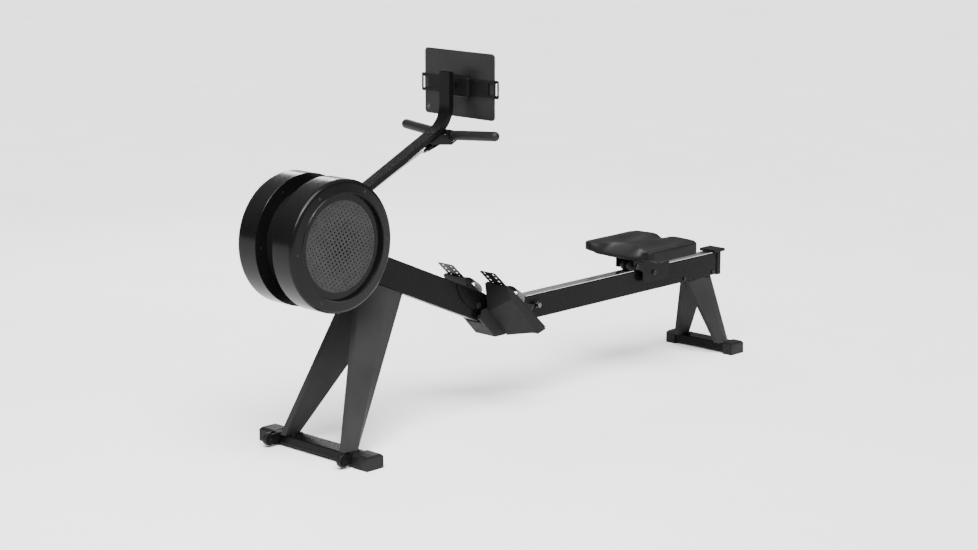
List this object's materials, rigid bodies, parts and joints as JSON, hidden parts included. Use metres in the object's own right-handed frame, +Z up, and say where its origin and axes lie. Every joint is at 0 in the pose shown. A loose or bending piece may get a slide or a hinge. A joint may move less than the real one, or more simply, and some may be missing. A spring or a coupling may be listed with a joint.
{
  "type": "rowing machine",
  "caption": "Air rowing machine: fan drums on folded legs, a sliding seat on a long rail, footboards, a chain-pulled handle and a tablet arm.",
  "frame": {"origin": "on the floor, midway along and across the machine", "axes": "+X from the drums to the seat's end, +Z up, -Y the rower's left"},
  "size_m": [2.44, 0.556, 1.343],
  "materials": {
    "frame_paint": "satin black powder coat",
    "leg_paint": "satin black powder coat on folded sheet",
    "drum_plastic": "semi-gloss black moulding",
    "grille_plastic": "matt dark grey perforated disc",
    "trim_plastic": "textured black moulding",
    "shell_plastic": "fine-grained dark grey moulding",
    "tablet_case": "dark anodised case with a black screen",
    "track_metal": "polished rail track",
    "bright_steel": "bright plated steel",
    "chain_steel": "oiled steel chain",
    "dark_steel": "black oxide steel",
    "fan_metal": "cast aluminium",
    "grip_rubber": "soft ribbed rubber",
    "foot_rubber": "moulded rubber",
    "roller_nylon": "nylon",
    "seat_vinyl": "soft black moulded foam skin",
    "webbing": "woven black webbing",
    "cord_rubber": "braided elastic cord"
  },
  "bodies": {
    "frame": {"main_beam": "frame_paint", "hub_plates": "dark_steel", "bearing_housings": "dark_steel", "axle_bearings": "bright_steel", "core_shroud": "trim_plastic", "left_drum_shell": "drum_plastic", "right_drum_shell": "drum_plastic", "drum_plates": "drum_plastic", "left_grille": "grille_plastic", "right_grille": "grille_plastic", "drum_screws": "dark_steel", "left_front_leg": "leg_paint", "right_front_leg": "leg_paint", "front_foot_bar": "frame_paint", "front_foot_caps": "foot_rubber", "wheel_brackets": "trim_plastic", "left_rear_leg": "leg_paint", "right_rear_leg": "leg_paint", "rear_foot_bar": "frame_paint", "rear_foot_caps": "foot_rubber", "frame_bolts": "dark_steel", "return_chain": "chain_steel", "return_cord": "cord_rubber", "seat_rail": "frame_paint", "rail_track": "track_metal", "rail_end_cap": "trim_plastic", "joint_plates": "frame_paint", "joint_cover": "shell_plastic", "foot_shells": "shell_plastic", "footboards": "trim_plastic", "foot_straps": "webbing"},
    "flywheel": {"flywheel_axle": "bright_steel", "left_fan": "fan_metal", "right_fan": "fan_metal"},
    "sprocket": {"drive_sprocket": "bright_steel"},
    "arm": {"arm_fork": "dark_steel", "monitor_arm": "frame_paint", "handle_holder": "trim_plastic", "tilt_bracket": "dark_steel"},
    "handle": {"drive_chain": "chain_steel", "chain_shackle": "bright_steel", "handle_yoke": "trim_plastic", "handle_bar": "trim_plastic", "handle_grips": "grip_rubber"},
    "takeup": {"takeup_block": "dark_steel"},
    "takeup_wheel": {"takeup_pulley": "roller_nylon"},
    "tablet_holder": {"clamp_body": "trim_plastic", "tablet": "tablet_case"},
    "left_clamp_jaw": {"left_jaw": "trim_plastic"},
    "right_clamp_jaw": {"right_jaw": "trim_plastic"},
    "left_heel_slide": {"left_flexfoot": "trim_plastic"},
    "right_heel_slide": {"right_flexfoot": "trim_plastic"},
    "left_wheel": {"left_transport_wheel": "foot_rubber"},
    "right_wheel": {"right_transport_wheel": "foot_rubber"},
    "seat": {"seat_pad": "seat_vinyl", "seat_base": "trim_plastic", "roller_axles": "dark_steel"},
    "front_roller_pair": {"front_rollers": "roller_nylon"},
    "rear_roller_pair": {"rear_rollers": "roller_nylon"},
    "rail_lock": {"lock_pin": "bright_steel"}
  },
  "joints": [
    {"name": "flywheel_spin", "type": "hinge", "parent": "frame", "child": "flywheel", "pos_m": [-0.99, 0, 0.752], "axis": [0, 1, 0], "continuous": true},
    {"name": "arm_fold", "type": "hinge", "parent": "frame", "child": "arm", "pos_m": [-0.99, 0, 0.752], "axis": [0, 1, 0], "range_deg": [0, 30]},
    {"name": "handle_pull", "type": "slide", "parent": "arm", "child": "handle", "axis": [0.9153, 0, 0.4027], "range_m": [0, 1.2], "stiffness_N_per_m": 30, "springref_m": -0.3, "deforming": ["drive_chain"]},
    {"name": "sprocket_spin", "type": "hinge", "parent": "frame", "child": "sprocket", "pos_m": [-0.99, 0, 0.752], "axis": [0, 1, 0], "range_deg": [-10, 4100]},
    {"name": "takeup_slide", "type": "slide", "parent": "frame", "child": "takeup", "axis": [-0.9178, 0, 0.3971], "range_m": [0, 0.6], "deforming": ["return_chain", "return_cord"]},
    {"name": "takeup_spin", "type": "hinge", "parent": "takeup", "child": "takeup_wheel", "pos_m": [-0.27779, 0, 0.40863], "axis": [0, 1, 0], "range_deg": [-10, 2400]},
    {"name": "tablet_tilt", "type": "hinge", "parent": "arm", "child": "tablet_holder", "pos_m": [-0.335, 0, 1.218], "axis": [0, 1, 0], "range_deg": [-20, 20]},
    {"name": "left_jaw_slide", "type": "slide", "parent": "tablet_holder", "child": "left_clamp_jaw", "axis": [0, -1, 0], "range_m": [0, 0.02], "stiffness_N_per_m": 400, "springref_m": -0.02},
    {"name": "right_jaw_slide", "type": "slide", "parent": "tablet_holder", "child": "right_clamp_jaw", "axis": [0, 1, 0], "range_m": [0, 0.02]},
    {"name": "left_heel_adjust", "type": "slide", "parent": "frame", "child": "left_heel_slide", "axis": [0.7331, 0, -0.6801], "range_m": [0, 0.06]},
    {"name": "right_heel_adjust", "type": "slide", "parent": "frame", "child": "right_heel_slide", "axis": [0.7331, 0, -0.6801], "range_m": [0, 0.06]},
    {"name": "left_wheel_spin", "type": "hinge", "parent": "frame", "child": "left_wheel", "pos_m": [-1.052, -0.1905, 0.03], "axis": [0, 1, 0], "continuous": true},
    {"name": "right_wheel_spin", "type": "hinge", "parent": "frame", "child": "right_wheel", "pos_m": [-1.052, 0.1905, 0.03], "axis": [0, 1, 0], "continuous": true},
    {"name": "seat_slide", "type": "slide", "parent": "frame", "child": "seat", "axis": [1, 0, 0], "range_m": [-0.54, 0.25]},
    {"name": "front_roller_spin", "type": "hinge", "parent": "seat", "child": "front_roller_pair", "pos_m": [0.65, 0, 0.4201], "axis": [0, 1, 0], "range_deg": [-1600, 800]},
    {"name": "rear_roller_spin", "type": "hinge", "parent": "seat", "child": "rear_roller_pair", "pos_m": [0.8, 0, 0.4201], "axis": [0, 1, 0], "range_deg": [-1600, 800]},
    {"name": "lock_pin_pull", "type": "slide", "parent": "frame", "child": "rail_lock", "axis": [0, -1, 0], "range_m": [0, 0.012], "stiffness_N_per_m": 900, "springref_m": -0.01}
  ],
  "couplings": [
    {"joint": "sprocket_spin", "follows": "handle_pull", "rad_per_m": 57.874},
    {"joint": "takeup_slide", "follows": "handle_pull", "ratio": 0.5},
    {"joint": "takeup_spin", "follows": "handle_pull", "rad_per_m": 33.333},
    {"joint": "right_jaw_slide", "follows": "left_jaw_slide", "ratio": 1},
    {"joint": "front_roller_spin", "follows": "seat_slide", "rad_per_m": 50},
    {"joint": "rear_roller_spin", "follows": "seat_slide", "rad_per_m": 50}
  ]
}
